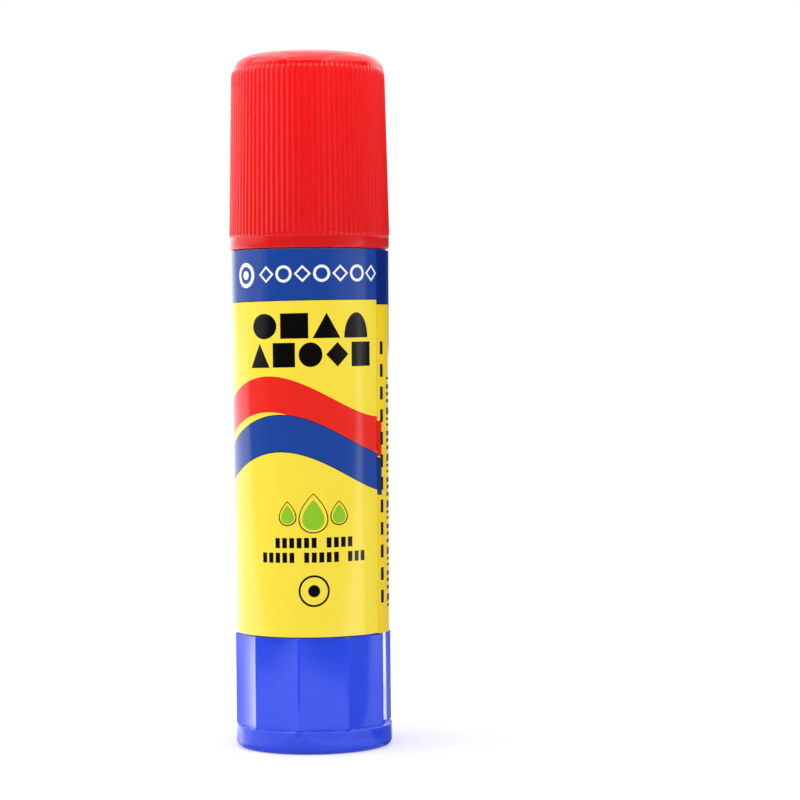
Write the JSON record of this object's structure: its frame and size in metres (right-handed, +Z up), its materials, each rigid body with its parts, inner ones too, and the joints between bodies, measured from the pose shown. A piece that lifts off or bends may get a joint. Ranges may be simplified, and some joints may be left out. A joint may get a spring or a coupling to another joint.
{
  "type": "glue stick",
  "caption": "Twist-up glue stick: round labelled barrel, ribbed push-on cap, faceted turning knob, and a feed screw that raises a carrier full of solid glue.",
  "frame": {"origin": "middle of the knob's underside, which the stick stands on", "axes": "+Z up the stick's axis towards the cap; -Y is the front, with the middle of the label; +X is to the right seen from the front"},
  "size_m": [0.02, 0.02, 0.0863],
  "materials": {
    "white_plastic": "satin moulded polypropylene",
    "label_film": "printed glossy film",
    "blue_plastic": "polished translucent plastic",
    "solid_glue": "waxy translucent white",
    "red_plastic": "polished moulded polypropylene",
    "seal_plastic": "soft natural polyethylene"
  },
  "bodies": {
    "barrel": {"barrel": "white_plastic", "label": "label_film"},
    "knob": {"knob": "blue_plastic", "feed_screw": "white_plastic"},
    "carrier": {"glue_carrier": "white_plastic", "glue": "solid_glue"},
    "cap": {"cap": "red_plastic", "cap_seal": "seal_plastic"}
  },
  "joints": [
    {"name": "knob_turn", "type": "hinge", "parent": "barrel", "child": "knob", "pos_m": [0, 0, 0], "axis": [0, 0, 1], "range_deg": [0, 3600]},
    {"name": "carrier_lift", "type": "slide", "parent": "barrel", "child": "carrier", "axis": [0, 0, 1], "range_m": [0, 0.05]},
    {"name": "cap_pull", "type": "slide", "parent": "carrier", "child": "cap", "axis": [0, 0, 1], "range_m": [0, 0.04]}
  ],
  "couplings": [
    {"joint": "carrier_lift", "follows": "knob_turn", "m_per_rad": 0.00079577}
  ]
}
